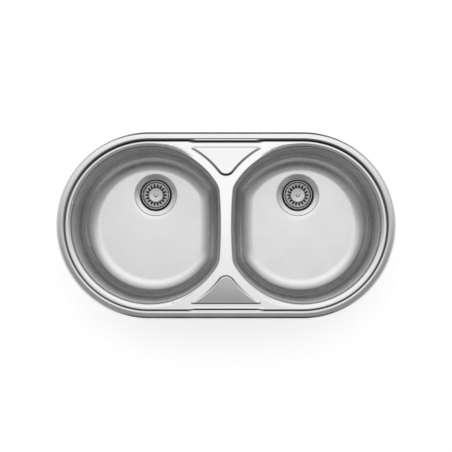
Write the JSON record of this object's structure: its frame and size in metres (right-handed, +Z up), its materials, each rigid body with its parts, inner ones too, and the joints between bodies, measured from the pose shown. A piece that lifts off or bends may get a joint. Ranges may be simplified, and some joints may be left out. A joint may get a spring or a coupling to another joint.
{
  "type": "double bowl kitchen sink",
  "caption": "Inset steel sink with round ends, two round bowls either side of a narrow bridge, raised tap platforms and lift-out basket strainers.",
  "frame": {"origin": "centre of the outline, in the plane of the worktop that carries the rim", "axes": "+X along the long side to the right bowl, +Y to the rear, where the wastes are, +Z up out of the bowls"},
  "size_m": [0.86, 0.472, 0.2457],
  "materials": {
    "satin_steel": "satin",
    "polished_steel": "polished",
    "zinc_steel": "zinc plated",
    "black_rubber": "matt",
    "grey_pad": "matt",
    "white_plastic": "satin"
  },
  "bodies": {
    "sink": {"sink_deck": "satin_steel", "rim_gasket": "black_rubber", "left_bowl": "satin_steel", "left_sound_pad": "grey_pad", "left_strainer_cup": "polished_steel", "left_upper_seal": "black_rubber", "left_lower_seal": "black_rubber", "left_waste_body": "white_plastic", "left_centre_screw": "polished_steel", "right_bowl": "satin_steel", "right_sound_pad": "grey_pad", "right_strainer_cup": "polished_steel", "right_upper_seal": "black_rubber", "right_lower_seal": "black_rubber", "right_waste_body": "white_plastic", "right_centre_screw": "polished_steel", "rear_left_bracket": "satin_steel", "rear_right_bracket": "satin_steel", "front_left_bracket": "satin_steel", "front_right_bracket": "satin_steel", "end_left_rear_bracket": "satin_steel", "end_left_front_bracket": "satin_steel", "end_right_rear_bracket": "satin_steel", "end_right_front_bracket": "satin_steel"},
    "left_plug": {"left_stem": "polished_steel", "left_stopper": "black_rubber"},
    "left_strainer": {"left_basket": "polished_steel", "left_knob": "polished_steel"},
    "right_plug": {"right_stem": "polished_steel", "right_stopper": "black_rubber"},
    "right_strainer": {"right_basket": "polished_steel", "right_knob": "polished_steel"},
    "rear_left_screw": {"rear_left_clip_screw": "zinc_steel"},
    "rear_left_arm": {"rear_left_clip": "zinc_steel"},
    "rear_right_screw": {"rear_right_clip_screw": "zinc_steel"},
    "rear_right_arm": {"rear_right_clip": "zinc_steel"},
    "front_left_screw": {"front_left_clip_screw": "zinc_steel"},
    "front_left_arm": {"front_left_clip": "zinc_steel"},
    "front_right_screw": {"front_right_clip_screw": "zinc_steel"},
    "front_right_arm": {"front_right_clip": "zinc_steel"},
    "end_left_rear_screw": {"end_left_rear_clip_screw": "zinc_steel"},
    "end_left_rear_arm": {"end_left_rear_clip": "zinc_steel"},
    "end_left_front_screw": {"end_left_front_clip_screw": "zinc_steel"},
    "end_left_front_arm": {"end_left_front_clip": "zinc_steel"},
    "end_right_rear_screw": {"end_right_rear_clip_screw": "zinc_steel"},
    "end_right_rear_arm": {"end_right_rear_clip": "zinc_steel"},
    "end_right_front_screw": {"end_right_front_clip_screw": "zinc_steel"},
    "end_right_front_arm": {"end_right_front_clip": "zinc_steel"}
  },
  "joints": [
    {"name": "left_strainer_lift", "type": "slide", "parent": "sink", "child": "left_plug", "axis": [0, 0, 1], "range_m": [0, 0.21]},
    {"name": "left_basket_turn", "type": "hinge", "parent": "left_plug", "child": "left_strainer", "pos_m": [-0.19, 0.081, -0.17], "axis": [0, 0, 1], "continuous": true},
    {"name": "right_strainer_lift", "type": "slide", "parent": "sink", "child": "right_plug", "axis": [0, 0, 1], "range_m": [0, 0.21]},
    {"name": "right_basket_turn", "type": "hinge", "parent": "right_plug", "child": "right_strainer", "pos_m": [0.19, 0.081, -0.17], "axis": [0, 0, 1], "continuous": true},
    {"name": "rear_left_screw_travel", "type": "slide", "parent": "sink", "child": "rear_left_screw", "axis": [0, 0, 1], "range_m": [0, 0.015]},
    {"name": "rear_left_clip_swing", "type": "hinge", "parent": "rear_left_screw", "child": "rear_left_arm", "pos_m": [-0.112, 0.206, -0.05], "axis": [0, 0, 1], "range_deg": [0, 90]},
    {"name": "rear_right_screw_travel", "type": "slide", "parent": "sink", "child": "rear_right_screw", "axis": [0, 0, 1], "range_m": [0, 0.015]},
    {"name": "rear_right_clip_swing", "type": "hinge", "parent": "rear_right_screw", "child": "rear_right_arm", "pos_m": [0.112, 0.206, -0.05], "axis": [0, 0, 1], "range_deg": [0, 90]},
    {"name": "front_left_screw_travel", "type": "slide", "parent": "sink", "child": "front_left_screw", "axis": [0, 0, 1], "range_m": [0, 0.015]},
    {"name": "front_left_clip_swing", "type": "hinge", "parent": "front_left_screw", "child": "front_left_arm", "pos_m": [-0.112, -0.206, -0.05], "axis": [0, 0, 1], "range_deg": [0, 90]},
    {"name": "front_right_screw_travel", "type": "slide", "parent": "sink", "child": "front_right_screw", "axis": [0, 0, 1], "range_m": [0, 0.015]},
    {"name": "front_right_clip_swing", "type": "hinge", "parent": "front_right_screw", "child": "front_right_arm", "pos_m": [0.112, -0.206, -0.05], "axis": [0, 0, 1], "range_deg": [0, 90]},
    {"name": "end_left_rear_screw_travel", "type": "slide", "parent": "sink", "child": "end_left_rear_screw", "axis": [0, 0, 1], "range_m": [0, 0.015]},
    {"name": "end_left_rear_clip_swing", "type": "hinge", "parent": "end_left_rear_screw", "child": "end_left_rear_arm", "pos_m": [-0.33966, 0.14566, -0.05], "axis": [0, 0, 1], "range_deg": [0, 90]},
    {"name": "end_left_front_screw_travel", "type": "slide", "parent": "sink", "child": "end_left_front_screw", "axis": [0, 0, 1], "range_m": [0, 0.015]},
    {"name": "end_left_front_clip_swing", "type": "hinge", "parent": "end_left_front_screw", "child": "end_left_front_arm", "pos_m": [-0.33966, -0.14566, -0.05], "axis": [0, 0, 1], "range_deg": [0, 90]},
    {"name": "end_right_rear_screw_travel", "type": "slide", "parent": "sink", "child": "end_right_rear_screw", "axis": [0, 0, 1], "range_m": [0, 0.015]},
    {"name": "end_right_rear_clip_swing", "type": "hinge", "parent": "end_right_rear_screw", "child": "end_right_rear_arm", "pos_m": [0.33966, 0.14566, -0.05], "axis": [0, 0, 1], "range_deg": [0, 90]},
    {"name": "end_right_front_screw_travel", "type": "slide", "parent": "sink", "child": "end_right_front_screw", "axis": [0, 0, 1], "range_m": [0, 0.015]},
    {"name": "end_right_front_clip_swing", "type": "hinge", "parent": "end_right_front_screw", "child": "end_right_front_arm", "pos_m": [0.33966, -0.14566, -0.05], "axis": [0, 0, 1], "range_deg": [0, 90]}
  ]
}
